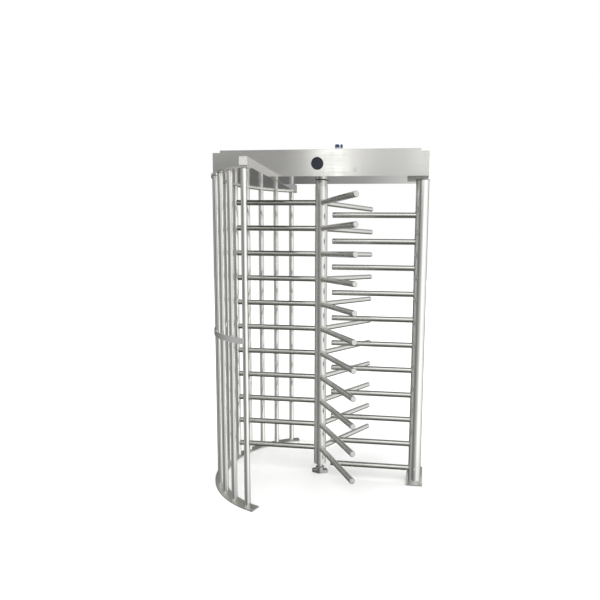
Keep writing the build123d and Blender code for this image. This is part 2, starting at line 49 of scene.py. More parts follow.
# how far a noise is stretched on each axis: 4 along the grain, 600 across it
ALONG_X, ALONG_Y, ALONG_Z = (4, 600, 600), (600, 4, 600), (600, 600, 4)
EVEN_GRAIN, FINE_GRAIN = (90, 90, 90), (300, 300, 300)


class Shader:
    """A material with a few short ways to add nodes to it."""

    def __init__(self, name, color, metallic=0.0, roughness=0.5, **sockets):
        self.material = bpy.data.materials.new(name)
        self.material.use_nodes = True
        self.tree = self.material.node_tree
        self.bsdf = self.tree.nodes["Principled BSDF"]
        self.roughness = roughness
        self.bsdf.inputs["Base Color"].default_value = (*color, 1)
        self.bsdf.inputs["Metallic"].default_value = metallic
        self.bsdf.inputs["Roughness"].default_value = roughness
        for key, value in sockets.items():
            self.bsdf.inputs[key.replace("_", " ")].default_value = value

    def add(self, kind, **settings):
        node = self.tree.nodes.new("ShaderNode" + kind)
        for key, value in settings.items():
            setattr(node, key, value)
        return node

    def link(self, a, b):
        self.tree.links.new(a, b)

    def coords(self, scale=(1, 1, 1), turn_z=0.0, offset=(0, 0, 0)):
        """Object coordinates, turned about Z and then stretched."""
        here = self.add("TexCoord").outputs["Object"]
        if turn_z:
            turn = self.add("Mapping")
            turn.inputs["Rotation"].default_value = (0, 0, turn_z)
            self.link(here, turn.inputs["Vector"])
            here = turn.outputs["Vector"]
        stretch = self.add("Mapping")
        stretch.inputs["Scale"].default_value = scale
        stretch.inputs["Location"].default_value = offset
        self.link(here, stretch.inputs["Vector"])
        return stretch.outputs["Vector"]

    def noise(self, vector, detail=3.0, roughness=0.5):
        """Noise whose size is set by how far its coordinates were stretched."""
        node = self.add("TexNoise")
        node.inputs["Scale"].default_value = 1.0
        node.inputs["Detail"].default_value = detail
        node.inputs["Roughness"].default_value = roughness
        self.link(vector, node.inputs["Vector"])
        return node.outputs["Fac"]

    def remap(self, value, low, high, out_low, out_high):
        node = self.add("MapRange")
        for key, number in (("From Min", low), ("From Max", high),
                            ("To Min", out_low), ("To Max", out_high)):
            node.inputs[key].default_value = number
        self.link(value, node.inputs["Value"])
        return node.outputs["Result"]

    def math(self, operation, a, b):
        node = self.add("Math", operation=operation)
        for socket, value in zip(node.inputs, (a, b)):
            if isinstance(value, (int, float)):
                socket.default_value = value
            else:
                self.link(value, socket)
        return node.outputs[0]

    def tint(self, factor, other):
        """Mixes the base colour so far towards another colour."""
        mix = self.add("Mix", data_type="RGBA")
        self.link(factor, mix.inputs["Factor"])
        base = self.bsdf.inputs["Base Color"]
        if base.links:
            self.link(base.links[0].from_socket, mix.inputs["A"])
        else:
            mix.inputs["A"].default_value = base.default_value
        mix.inputs["B"].default_value = (*other, 1)
        self.link(mix.outputs["Result"], base)

    def rough_add(self, value):
        """Adds a varying amount to the roughness so far."""
        socket = self.bsdf.inputs["Roughness"]
        base = socket.links[0].from_socket if socket.links else self.roughness
        total = self.math("ADD", value, base)
        self.link(total, socket)

    def bump(self, value, distance, strength):
        node = self.add("Bump")
        node.inputs["Distance"].default_value = distance
        node.inputs["Strength"].default_value = strength
        self.link(value, node.inputs["Height"])
        normal = self.bsdf.inputs["Normal"]
        if normal.links:
            self.link(normal.links[0].from_socket, node.inputs["Normal"])
        self.link(node.outputs["Normal"], normal)


def brushed(name, color, roughness, grain, turn_z=0.0, depth=0.000012, uneven=1.0, **sockets):
    """Stainless steel with a directional grain, handling marks and a faint uneven tone."""
    s = Shader(name, color, metallic=1.0, roughness=roughness, **sockets)
    fine = s.noise(s.coords(grain, turn_z), 2.0, 0.6)
    coarse = s.noise(s.coords(tuple(g * 0.25 for g in grain), turn_z, (3, 7, 1)), 3.0)
    s.rough_add(s.remap(fine, 0.3, 0.7, -0.05 * uneven, 0.06 * uneven))
    s.rough_add(s.remap(coarse, 0.35, 0.65, -0.03 * uneven, 0.03 * uneven))
    blotch = s.noise(s.coords((5, 5, 3.2)), 4.0, 0.6)
    s.rough_add(s.remap(blotch, 0.45, 0.72, 0.0, 0.05))
    s.tint(s.remap(blotch, 0.42, 0.80, 0.0, 0.14), GRIME)
    s.tint(s.remap(fine, 0.45, 0.75, 0.0, 0.07), tuple(c * 0.75 for c in color))
    s.bump(fine, depth, 0.7)
    return s.material


def polished(name, color, roughness=0.08):
    """Polished stainless with hairline turning marks and light wear."""
    s = Shader(name, color, metallic=1.0, roughness=roughness)
    rings = s.noise(s.coords((9, 9, 900)), 2.0)
    blotch = s.noise(s.coords((22, 22, 22)), 4.0, 0.6)
    s.rough_add(s.remap(rings, 0.35, 0.65, 0.0, 0.05))
    s.rough_add(s.remap(blotch, 0.5, 0.75, 0.0, 0.10))
    s.tint(s.remap(blotch, 0.5, 0.8, 0.0, 0.25), WORN)
    s.bump(rings, 0.00002, 0.5)
    return s.material


def moulded(name, color, roughness, grain=900, depth=0.00004, **sockets):
    """Moulded plastic or paint with a fine texture and a faint fade."""
    s = Shader(name, color, roughness=roughness, **sockets)
    speckle = s.noise(s.coords((grain,) * 3), 2.0)
    patch = s.noise(s.coords((14, 14, 14)), 3.0)
    s.rough_add(s.remap(patch, 0.35, 0.7, -0.04, 0.06))
    s.tint(s.remap(patch, 0.4, 0.8, 0.0, 0.12), tuple(min(1, c * 1.6 + 0.03) for c in color))
    s.bump(speckle, depth, 0.6)
    return s.material


def machined(name, color, roughness, oil=0.25):
    """Turned or ground metal with tool marks and an oily, uneven film."""
    s = Shader(name, color, metallic=1.0, roughness=roughness)
    marks = s.noise(s.coords((60, 60, 1500)), 2.0)
    film = s.noise(s.coords((40, 40, 40)), 4.0, 0.6)
    s.rough_add(s.remap(marks, 0.35, 0.65, -0.05, 0.08))
    s.tint(s.remap(film, 0.45, 0.75, 0.0, oil), tuple(c * 0.55 for c in color))
    s.bump(marks, 0.00003, 0.6)
    return s.material


tube_z = brushed("tube_satin_upright", (0.76, 0.757, 0.735), 0.13, ALONG_Z,
                 Specular_Tint=(0.5, 0.5, 0.48, 1))
tube_x = brushed("tube_satin_level", STEEL, 0.15, ALONG_X)
sheet_x = brushed("sheet_brushed_long", SHEET_STEEL, 0.13, ALONG_X, depth=0.000006, uneven=0.35)
sheet_y = brushed("sheet_brushed_end", SHEET_STEEL, 0.24, ALONG_Y, depth=0.00002)
rail_y = brushed("rail_satin", (0.70, 0.69, 0.70), 0.22, ALONG_Y)
plate = brushed("plate_ground", (0.64, 0.637, 0.61), 0.42, EVEN_GRAIN, depth=0.00004)
foot_plate = brushed("foot_plate_satin", (0.72, 0.72, 0.71), 0.36, EVEN_GRAIN, depth=0.00003)
cap = brushed("cap_domed", (0.52, 0.52, 0.505), 0.24, FINE_GRAIN)
# the pedestal's polished steel gets a darker base colour than the collar's: painted shade that stands
# in for the dark surroundings it mirrors
mirror = polished("polished_steel_shade_darkened", (0.42, 0.43, 0.42))

finishes = {
    "base_ring": plate, "post_base_plate": foot_plate, "post_top_plate": plate,
    "post_ribs": foot_plate,
    "roof_plate": brushed("roof_sheet", (0.66, 0.655, 0.63), 0.12, EVEN_GRAIN, depth=0.00001),
    "roof_ring": brushed("roof_ring_flat", SHEET_STEEL, 0.16, EVEN_GRAIN, depth=0.00002),
    "mid_rail": brushed("rail_curved", (0.86, 0.856, 0.84), 0.36, (120, 120, 900)),
    "cage_tubes_entry": tube_z, "cage_tubes_exit": tube_z, "post_tube": tube_z,
    "rotor_column": brushed("column_satin", STEEL, 0.20, ALONG_Z), "barrier_bars": tube_x,
    "chord_rails": rail_y,
    "chord_rail_caps": brushed("rail_cap_matt", (0.98, 0.98, 0.975), 0.70, FINE_GRAIN),
    "barrier_bar_caps": cap, "wing_arm_caps": cap,
    "fascia_entry": sheet_x, "fascia_exit": sheet_x, "top_frame": sheet_x,
    "top_cover": sheet_x, "housing_floor": sheet_x, "end_panels": sheet_y,
    "rotor_collar": polished("collar_polished", (0.60, 0.60, 0.58), 0.14), "pedestal": mirror,
}
for name, angle in WING_ANGLES.items():
    finishes[name] = brushed(name + "_satin", STEEL, 0.15, ALONG_X, turn_z=-math.radians(angle))

turned = machined("turned_steel", (0.55, 0.55, 0.54), 0.28)
oiled = machined("oiled_gear_steel", (0.42, 0.41, 0.39), 0.32)
ground = machined("ground_steel", (0.66, 0.66, 0.65), 0.14, oil=0.12)
brass = machined("machined_brass", (0.72, 0.50, 0.20), 0.26)
zinc = machined("zinc_plate", (0.60, 0.61, 0.60), 0.38, oil=0.15)
casting = moulded("painted_casting", (0.16, 0.17, 0.18), 0.45, grain=300, depth=0.0002)
enamel = moulded("black_enamel", (0.02, 0.02, 0.022), 0.30)
black_plastic = moulded("moulded_black", (0.025, 0.025, 0.028), 0.45)
grey_plastic = moulded("moulded_grey", (0.42, 0.43, 0.44), 0.50)
board = moulded("solder_mask", (0.02, 0.13, 0.05), 0.30, grain=250)
folded = machined("folded_aluminium", (0.72, 0.73, 0.74), 0.36, oil=0.10)
finishes.update({
    "rotor_foot": turned, "rotor_shaft": turned, "shaft_nut": turned, "pinion_shaft": ground,
    "pawl_pivot": turned, "solenoid_plunger": ground, "bearing_lower": ground,
    "bearing_upper": ground, "drive_gear": oiled, "index_disc": oiled, "lock_pawl": oiled,
    "counter_pinion": brass, "pinion_bushes": brass, "mechanism_plate": zinc,
    "encoder_bridge": zinc, "solenoid": zinc, "bearing_housing": casting,
    "mechanism_screws": enamel, "rotary_damper": enamel, "counter_encoder": black_plastic,
    "control_board": board, "lamp_boards": board, "board_components": black_plastic,
    "counter_module": grey_plastic, "terminal_block": grey_plastic, "power_supply": folded,
    "gland_bases": moulded("gland_base_grey", (0.55, 0.56, 0.57), 0.45),
    "gland_nuts": moulded("gland_nut_blue", (0.022, 0.034, 0.11), 0.38),
    "lamp_bezels": moulded("lamp_bezel_black", (0.008, 0.009, 0.014), 0.22, depth=0.00001),
    "lamp_lenses": moulded("lamp_lens_navy", (0.017, 0.019, 0.030), 0.30, depth=0.00001,
                           Specular_IOR_Level=0.35),
    "key_switch_body": ground, "key_plug": ground,
})
for name, material in finishes.items():
    for material_slot in nodes[name].material_slots:
        material_slot.material = material



# ---- sizes read from the frame ------------------------------------------------------------
def corners(node):
    low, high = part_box(node)
    return Vector(low), Vector(high)


# outlines for lathe and the radii of screws, bolts and LEDs are in millimetres, the rest in metres
MM = 0.001
LEVELS, CAGE_TUBES, CAGE_STEP = 11, 12, math.radians(11.5)
column_low, column_high = corners("rotor_column")
column_r = (column_high.x - column_low.x) / 2
wing_low, wing_high = corners("wing_left")
tube_r = (wing_high.y - wing_low.y) / 2
pitch = (wing_high.z - wing_low.z - 2 * tube_r) / (LEVELS - 1)
post_low, post_high = corners("post_tube")
post_axis = (post_low + post_high) / 2
post_r = (post_high.x - post_low.x) / 2
bars_low, _ = corners("barrier_bars")
tubes_low, tubes_high = corners("cage_tubes_entry")
cage_r = (-tubes_low.y - tube_r) / math.sin(CAGE_STEP * (CAGE_TUBES - 1) / 2)
cage_x = tubes_low.x + tube_r + cage_r * math.cos(CAGE_STEP / 2)
up_axis = Vector((0, 0, 1))


# ---- mesh helpers -------------------------------------------------------------------------
BEAD_SIDES, CIRCLE_POINTS, SADDLE_POINTS = 8, 48, 72
WELD_STANDOFF, POST_WELD_STANDOFF, SADDLE_STANDOFF = 0.6 * MM, 0.8 * MM, 0.3 * MM


def piece(name, build, body, material, smooth=True):
    """One detail piece: its mesh, its finish, and the CAD body and material slot it belongs to."""
    mesh = bpy.data.meshes.new(name)
    bm = bmesh.new()
    build(bm)
    bmesh.ops.recalc_face_normals(bm, faces=bm.faces)
    bm.to_mesh(mesh)
    bm.free()
    mesh.materials.append(material)
    for polygon in mesh.polygons:
        polygon.use_smooth = smooth
    obj = bpy.data.objects.new(name, mesh)
    bpy.context.scene.collection.objects.link(obj)
    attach(obj, body)
    return obj


def bead(bm, path, radius, ripples=0):
    """A round bead along a closed path; ripples give it a weld's overlapping pools."""
    count = len(path)
    middle = sum(path, Vector()) / count
    axis = sum(((a - middle).cross(b - middle) for a, b in zip(path, path[1:])), Vector())
    rings = []
    for i, here in enumerate(path):
        along = (path[(i + 1) % count] - path[i - 1]).normalized()
        side = along.cross(axis).normalized()
        over = side.cross(along)
        swell = radius * (1 + 0.16 * math.sin(2 * math.pi * ripples * i / count))
        rings.append([bm.verts.new(here + swell * (math.cos(a) * side + math.sin(a) * over))
                      for a in (2 * math.pi * k / BEAD_SIDES for k in range(BEAD_SIDES))])
    for i in range(count):
        a, b = rings[i], rings[(i + 1) % count]
        for k in range(BEAD_SIDES):
            n = (k + 1) % BEAD_SIDES
            bm.faces.new((a[k], a[n], b[n], b[k]))


def circle(centre, radius, axis=up_axis):
    side = axis.orthogonal().normalized()
    over = axis.cross(side)
    return [centre + radius * (math.cos(a) * side + math.sin(a) * over)
            for a in (2 * math.pi * i / CIRCLE_POINTS for i in range(CIRCLE_POINTS))]


def saddle(centre, along, joined_r):
    """Where a level tube meets an upright one: the line that its weld follows."""
    side = up_axis.cross(along)
    r, reach = tube_r + WELD_STANDOFF, joined_r + SADDLE_STANDOFF
    points = []
    for i in range(SADDLE_POINTS):
        a = 2 * math.pi * i / SADDLE_POINTS
        s = r * math.sin(a)
        points.append(centre + along * math.sqrt(reach ** 2 - s * s)
                      + side * s + up_axis * r * math.cos(a))
    return points


def lathe(bm, origin, axis, profile, sides=24):
    """Turned shape from (radius, height) pairs in millimetres; six sides make a hexagon."""
    side = axis.orthogonal().normalized()
    over = axis.cross(side)
    rows = []
    for r, h in profile:
        base = origin + axis * h * MM
        if r == 0:
            rows.append([bm.verts.new(base)])
        else:
            rows.append([bm.verts.new(base + r * MM * (math.cos(a) * side + math.sin(a) * over))
                         for a in (2 * math.pi * k / sides for k in range(sides))])
    for a, b in zip(rows, rows[1:]):
        for k in range(sides):
            n = (k + 1) % sides
            quad = [a[k % len(a)], a[n % len(a)], b[n % len(b)], b[k % len(b)]]
            bm.faces.new(list(dict.fromkeys(quad)))


def button_screw(bm, origin, axis, r):
    """Domed head with a round socket, r millimetres in radius."""
    lathe(bm, origin, axis, [(0, 0.2), (r * 0.42, 0.2), (r * 0.42, r * 0.52), (r * 0.62, r * 0.5),
                             (r * 0.9, r * 0.28), (r, 0.05 * r), (r, -0.3), (0, -0.3)])


def hex_bolt(bm, origin, axis, r):
    """Hexagon head on a round washer; r is the hexagon's radius in millimetres."""
    lathe(bm, origin, axis, [(0, 0), (r * 1.3, 0), (r * 1.3, 1.2), (0, 1.2)])
    lathe(bm, origin + axis * 1.2 * MM, axis,
          [(0, 0), (r, 0), (r, r * 0.62), (r * 0.86, r * 0.75), (0, r * 0.75)], sides=6)


def bar_block(bm, low, high, soften):
    """Block between two corners with softened edges."""
    low, high = Vector(low), Vector(high)
    made = bmesh.ops.create_cube(bm, size=1)["verts"]
    bmesh.ops.scale(bm, vec=high - low, verts=made)
    bmesh.ops.translate(bm, vec=(low + high) / 2, verts=made)
    edges = list({e for v in made for e in v.link_edges})
    bmesh.ops.bevel(bm, geom=edges, offset=soften, segments=2, affect="EDGES", profile=0.7)


# ---- welds --------------------------------------------------------------------------------
def weld_look():
    """Brushed-back weld metal with a straw and violet heat tint that comes and goes."""
    s = Shader("weld_metal", (0.60, 0.595, 0.57), metallic=1.0, roughness=0.30)
    pools = s.noise(s.coords((260, 260, 260)), 3.0)
    heat = s.noise(s.coords((35, 35, 35)), 2.0)
    s.rough_add(s.remap(pools, 0.3, 0.7, -0.05, 0.14))
    s.tint(s.remap(heat, 0.50, 0.66, 0.0, 0.22), (0.58, 0.47, 0.30))
    s.tint(s.remap(heat, 0.62, 0.78, 0.0, 0.22), (0.40, 0.38, 0.50))
    s.bump(pools, 0.0001, 0.6)
    return s.material


weld = weld_look()
WELD_R, POST_WELD_R = 2.0 * MM, 2.6 * MM
TUBE_RIPPLES, POST_RIPPLES = 24, 48     # overlapping pools in one weld


def wing_welds(angle):
    along = Vector((math.cos(angle), math.sin(angle), 0))

    def build(bm):
        for k in range(LEVELS):
            z = wing_low.z + tube_r + k * pitch
            bead(bm, saddle(Vector((0, 0, z)), along, column_r), WELD_R, TUBE_RIPPLES)
    return build


for name, angle in WING_ANGLES.items():
    piece("welds_" + name, wing_welds(math.radians(angle)), "rotor", weld)


def barrier_welds(bm):
    for k in range(LEVELS):
        z = bars_low.z + tube_r + k * pitch
        bead(bm, saddle(Vector((post_axis.x, post_axis.y, z)), Vector((-1, 0, 0)), post_r),
             WELD_R, TUBE_RIPPLES)


def post_welds(bm):
    for z in (post_low.z, post_high.z):
        centre = Vector((post_axis.x, post_axis.y, z))
        bead(bm, circle(centre, post_r + POST_WELD_STANDOFF), POST_WELD_R, POST_RIPPLES)


def cage_welds(bm):
    for i in range(CAGE_TUBES):
        a = (i - (CAGE_TUBES - 1) / 2) * CAGE_STEP
        x, y = cage_x - cage_r * math.cos(a), cage_r * math.sin(a)
        for z in (tubes_low.z, tubes_high.z):
            bead(bm, circle(Vector((x, y, z)), tube_r + WELD_STANDOFF), WELD_R, TUBE_RIPPLES)


piece("welds_barrier", barrier_welds, "frame", weld)
piece("welds_post", post_welds, "frame", weld)
piece("welds_cage", cage_welds, "frame", weld)

# ---- fasteners and fittings outside -------------------------------------------------------
floor_low, floor_high = corners("housing_floor")
head_top = corners("top_frame")[1].z
head_bottom = floor_high.z
screw_steel = machined("screw_stainless", (0.60, 0.60, 0.58), 0.24, oil=0.10)
PANEL_SCREW_R, PANEL_SCREW_Y, PANEL_SCREW_INSET = 4.5, 160 * MM, 22 * MM
COLLAR_SCREW_R, COLLAR_SCREW_ANGLES = 3.4, (-100, 20, 140)
SMALL_NUT_R = 8 * MM
GRIP_RIB = [(0, 2.5), (0.4, 2.8), (0.5, 3.4), (0.5, 12.6), (0.4, 13.2), (0, 13.5)]


def end_screws(bm):
    for x, out in ((floor_low.x, -1), (floor_high.x, 1)):
        for y in (-PANEL_SCREW_Y, 0, PANEL_SCREW_Y):
            for z in (head_bottom + PANEL_SCREW_INSET, head_top - PANEL_SCREW_INSET):
                button_screw(bm, Vector((x, y, z)), Vector((out, 0, 0)), PANEL_SCREW_R)


def collar_screws(bm):
    low, high = corners("rotor_collar")
    r, z = (high.x - low.x) / 2, (low.z + high.z) / 2
    for angle in COLLAR_SCREW_ANGLES:
        a = math.radians(angle)
        out = Vector((math.cos(a), math.sin(a), 0))
        button_screw(bm, out * r + up_axis * z, out, COLLAR_SCREW_R)


def gland_ribs(bm):
    """Upright grip ribs round both cable glands' nuts, more of them on the larger one."""
    low, high = corners("gland_nuts")
    y = (low.y + high.y) / 2
    large_r = (high.y - low.y) / 2
    for x, r in ((low.x + large_r, large_r), (high.x - SMALL_NUT_R, SMALL_NUT_R)):
        count = round(r / MM) + 3
        for k in range(count):
            a = 2 * math.pi * k / count
            out = Vector((math.cos(a), math.sin(a), 0))
            lathe(bm, Vector((x, y, low.z)) + out * r, up_axis, GRIP_RIB, sides=8)


piece("end_panel_screws", end_screws, "frame", screw_steel)
piece("collar_grub_screws", collar_screws, "rotor", screw_steel)
piece("gland_nut_ribs", gland_ribs, "cover", finishes["gland_nuts"])

# ---- passage lamps and lock ----------------------------------------------------------------
bezel_low, bezel_high = corners("lamp_bezels")
lens_low, lens_high = corners("lamp_lenses")
lamp_x, lamp_z = (bezel_low.x + bezel_high.x) / 2, (bezel_low.z + bezel_high.z) / 2
bezel_r, lens_r = (bezel_high.x - bezel_low.x) / 2, (lens_high.x - lens_low.x) / 2
LAMP_RIM_R, LAMP_SCREW_R, LOCK_RIM_R = 1.0 * MM, 2.2, 0.9 * MM
LED_R, LED_PITCH, LED_MARGIN = 2.0, 7.5 * MM, 4 * MM
LED_ROW = 0.866 * LED_PITCH     # rows of a triangular pattern
LED_DOME = [(0, -0.2), (LED_R, -0.2), (LED_R, 0.2), (LED_R * 0.8, 0.8), (LED_R * 0.4, 1.2), (0, 1.3)]


def lamp_rims(bm):
    for y, out in ((bezel_low.y, -1), (bezel_high.y, 1)):
        face = Vector((lamp_x, y, lamp_z))
        axis = Vector((0, out, 0))
        bead(bm, circle(face - axis * 0.6 * MM, lens_r + 0.8 * MM, axis), LAMP_RIM_R)
        for k in range(3):
            a = math.radians(90 + 120 * k)
            spot = face + Vector((math.cos(a), 0, math.sin(a))) * (bezel_r + lens_r) / 2
            button_screw(bm, spot - axis * 0.4 * MM, axis, LAMP_SCREW_R)


def lamp_leds(bm):
    reach = int(lens_r / LED_PITCH) + 1
    for y, out in ((lens_low.y, -1), (lens_high.y, 1)):
        for i in range(-reach, reach + 1):
            for j in range(-reach, reach + 1):
                x, z = (i + 0.5 * (j % 2)) * LED_PITCH, j * LED_ROW
                if math.hypot(x, z) < lens_r - LED_MARGIN:
                    spot = Vector((lamp_x + x, y, lamp_z + z))
                    lathe(bm, spot, Vector((0, out, 0)), LED_DOME, sides=12)


def lock_rim(bm):
    low, high = corners("key_switch_body")
    centre = Vector(((low.x + high.x) / 2, low.y + 0.2 * MM, (low.z + high.z) / 2))
    rim_r = (high.x - low.x) / 2 - 1.6 * MM
    bead(bm, circle(centre, rim_r, Vector((0, -1, 0))), LOCK_RIM_R)


piece("lamp_rims", lamp_rims, "frame", finishes["lamp_bezels"])
piece("lamp_leds", lamp_leds, "frame", finishes["lamp_lenses"])
piece("lock_rim", lock_rim, "frame", ground)

# ---- hardware in the head -----------------------------------------------------------------
bridge_low, bridge_high = corners("encoder_bridge")
encoder_low, encoder_high = corners("counter_encoder")
pinion_x = (encoder_low.x + encoder_high.x) / 2
board_top = corners("control_board")[1].z
HOUSING_FLANGE, HOUSING_BOLT_CIRCLE, HOUSING_BOLT_R = 10 * MM, 61 * MM, 5.5
BRIDGE_BOLT_INSET, BRIDGE_BOLT_R = 13 * MM, 6
ENCODER_SCREW_CIRCLE, ENCODER_SCREW_R = 20 * MM, 2.4
FINS, FIN_R = 5, 1.4 * MM
CLAMPS, CLAMP_START, CLAMP_PITCH, CLAMP_Y = 8, 9 * MM, 13 * MM, 10 * MM
CLAMP_DEPTH, CLAMP_SCREW_R = 5.4 * MM, 3.4
LOUVRES, LOUVRE_START, LOUVRE_PITCH = 10, 20 * MM, 15 * MM
LOUVRE_INNER_Y, LOUVRE_OUTER_Y, LOUVRE_WIDTH, LOUVRE_HEIGHT = 4 * MM, 48 * MM, 6 * MM, 2 * MM
PINS, PIN_START, PIN_PITCH = 12, 482 * MM, 3.2 * MM
CHIP_Y, PIN_REACH, PIN_LENGTH, PIN_WIDTH, PIN_HEIGHT = -15 * MM, 21.5 * MM, 3 * MM, 1.4 * MM, 1.2 * MM
DRUMS, DRUM_START, DRUM_PITCH, DRUM_Y, DRUM_DEPTH = 6, 13 * MM, 11 * MM, -20 * MM, 12.4 * MM
DRUM = [(0, 0), (11.4, 0), (12, 0.6), (12, 8.4), (11.4, 9), (0, 9)]
CAPACITORS, CAPACITOR_START, CAPACITOR_PITCH, CAPACITOR_Y = 3, 370 * MM, 40 * MM, -20 * MM
CAPACITOR_TOP = [(0, -0.2), (8.6, -0.2), (8.6, 0.1), (8.2, 0.5), (6.5, 0.35), (0, 0.35)]
CONNECTORS, CONNECTOR_START, CONNECTOR_PITCH, CONNECTOR_Y = 4, 320 * MM, 50 * MM, -66 * MM
CONNECTOR_HEIGHT, CONNECTOR_SCREW_X, CONNECTOR_SCREW_R = 14 * MM, (10 * MM, 30 * MM), 3.0


def head_bolts(bm):
    flange_top = corners("bearing_housing")[0].z + HOUSING_FLANGE
    for k in range(4):
        a = math.radians(45 + 90 * k)
        x, y = HOUSING_BOLT_CIRCLE * math.cos(a), HOUSING_BOLT_CIRCLE * math.sin(a)
        hex_bolt(bm, Vector((x, y, flange_top)), up_axis, HOUSING_BOLT_R)
    for y in (bridge_low.y + BRIDGE_BOLT_INSET, bridge_high.y - BRIDGE_BOLT_INSET):
        hex_bolt(bm, Vector((pinion_x, y, bridge_high.z)), up_axis, BRIDGE_BOLT_R)


def encoder_screws(bm):
    for k in range(3):
        a = math.radians(30 + 120 * k)
        x, y = ENCODER_SCREW_CIRCLE * math.cos(a), ENCODER_SCREW_CIRCLE * math.sin(a)
        button_screw(bm, Vector((pinion_x + x, y, encoder_high.z)), up_axis, ENCODER_SCREW_R)


def damper_fins(bm):
    low, high = corners("rotary_damper")
    r = (high.x - low.x) / 2
    for k in range(FINS):
        z = low.z + (k + 1) * (high.z - low.z) / (FINS + 1)
        bead(bm, circle(Vector((pinion_x, 0, z)), r), FIN_R)


def terminal_screws(bm):
    low, high = corners("terminal_block")
    for k in range(CLAMPS):
        for y in (-CLAMP_Y, CLAMP_Y):
            spot = Vector((low.x + CLAMP_START + CLAMP_PITCH * k, y, high.z - CLAMP_DEPTH))
            button_screw(bm, spot, up_axis, CLAMP_SCREW_R)


def supply_louvres(bm):
    low, high = corners("power_supply")
    for i in range(LOUVRES):
        x = low.x + LOUVRE_START + LOUVRE_PITCH * i
        for y0, y1 in ((-LOUVRE_OUTER_Y, -LOUVRE_INNER_Y), (LOUVRE_INNER_Y, LOUVRE_OUTER_Y)):
            bar_block(bm, (x, y0, high.z), (x + LOUVRE_WIDTH, y1, high.z + LOUVRE_HEIGHT), 0.8 * MM)


def board_pins(bm):
    """Two rows of pins, one each side of the chip on the control board."""
    for side in (-1, 1):
        for k in range(PINS):
            x = PIN_START + PIN_PITCH * k
            y = CHIP_Y + side * PIN_REACH
            bar_block(bm, (x, y - PIN_LENGTH / 2, board_top),
                      (x + PIN_WIDTH, y + PIN_LENGTH / 2, board_top + PIN_HEIGHT), 0.2 * MM)


def counter_drums(bm):
    low, high = corners("counter_module")
    for k in range(DRUMS):
        start = Vector((low.x + DRUM_START + DRUM_PITCH * k, DRUM_Y, high.z - DRUM_DEPTH))
        lathe(bm, start, Vector((1, 0, 0)), DRUM, sides=40)


def capacitor_tops(bm):
    top = corners("board_components")[1].z
    for k in range(CAPACITORS):
        spot = Vector((CAPACITOR_START + CAPACITOR_PITCH * k, CAPACITOR_Y, top))
        lathe(bm, spot, up_axis, CAPACITOR_TOP)


def connector_screws(bm):
    for k in range(CONNECTORS):
        for dx in CONNECTOR_SCREW_X:
            x = CONNECTOR_START + CONNECTOR_PITCH * k + dx
            button_screw(bm, Vector((x, CONNECTOR_Y, board_top + CONNECTOR_HEIGHT)), up_axis,
                         CONNECTOR_SCREW_R)


piece("head_hex_bolts", head_bolts, "frame", enamel, smooth=False)
piece("encoder_screws", encoder_screws, "frame", enamel)
piece("damper_fins", damper_fins, "frame", enamel)
piece("terminal_screws", terminal_screws, "frame", screw_steel)
piece("supply_louvres", supply_louvres, "frame", folded)
piece("board_pins", board_pins, "frame", screw_steel)
piece("counter_drums", counter_drums, "frame", black_plastic)
piece("capacitor_tops", capacitor_tops, "frame", folded)
piece("connector_screws", connector_screws, "frame", screw_steel)

# ---- studio: floor, backdrop, world light, camera -----------------------------------------
FLOOR_HALF, DOME_R = 30, 29


def stage_mesh(name, build):
    mesh = bpy.data.meshes.new(name)
    bm = bmesh.new()
    build(bm)
    bm.to_mesh(mesh)
    bm.free()
    obj = bpy.data.objects.new(name, mesh)
    bpy.context.scene.collection.objects.link(obj)
    return obj


def floor_grid(bm):
    bmesh.ops.create_grid(bm, x_segments=1, y_segments=1, size=FLOOR_HALF)


def dome_sphere(bm):
    bmesh.ops.create_icosphere(bm, subdivisions=5, radius=DOME_R)


floor = stage_mesh("floor", floor_grid)
floor_look = Shader("floor_pale", (0.92, 0.92, 0.92), roughness=0.6)
floor_tone = floor_look.noise(floor_look.coords((1.3, 1.3, 1.3)), 3.0)
floor_look.tint(floor_look.remap(floor_tone, 0.3, 0.7, 0.0, 0.06), (0.90, 0.90, 0.90))
floor.data.materials.append(floor_look.material)
floor.visible_glossy = False

# a very broad overhead light for the floor and the plastics; metals mirror only the world
overhead = bpy.data.lights.new("overhead", "SUN")
overhead.energy = 2.7
overhead.angle = math.radians(120)
overhead_object = bpy.data.objects.new("overhead", overhead)
overhead_object.visible_glossy = False
bpy.context.scene.collection.objects.link(overhead_object)

# the backdrop: white for the camera only, so nothing mirrors it
dome = stage_mesh("backdrop", dome_sphere)
dome_look = bpy.data.materials.new("backdrop_pale")
dome_look.use_nodes = True
dome_tree = dome_look.node_tree
dome_tree.nodes.clear()
glow = dome_tree.nodes.new("ShaderNodeEmission")
glow.inputs["Color"].default_value = (1, 1, 1, 1)
glow.inputs["Strength"].default_value = 1.0
out = dome_tree.nodes.new("ShaderNodeOutputMaterial")
dome_tree.links.new(glow.outputs[0], out.inputs["Surface"])
dome.data.materials.append(dome_look)
for ray in ("diffuse", "glossy", "transmission", "volume_scatter", "shadow"):
    setattr(dome, "visible_" + ray, False)

world = bpy.data.worlds.new("studio")
bpy.context.scene.world = world
world.use_nodes = True
wt = world.node_tree
background = wt.nodes["Background"]
direction = wt.nodes.new("ShaderNodeTexCoord").outputs["Generated"]


def world_math(operation, *values):
    node = wt.nodes.new("ShaderNodeMath")
    node.operation = operation
    for socket, value in zip(node.inputs, values):
        if isinstance(value, (int, float)):
            socket.default_value = value
        else:
            wt.links.new(value, socket)
    return node.outputs[0]


def world_ramp(value, stops):
    """Smooth brightness (0 to 1) along a value, from (position, brightness) stops."""
    node = wt.nodes.new("ShaderNodeValToRGB")
    node.color_ramp.interpolation = "EASE"
    points = node.color_ramp.elements
    while len(points) < len(stops):
        points.new(0.5)
    for point, (place, level) in zip(points, sorted(stops)):
        point.position = place
        point.color = (*[level] * 3, 1)
    wt.links.new(value, node.inputs["Fac"])
    return node.outputs["Color"]


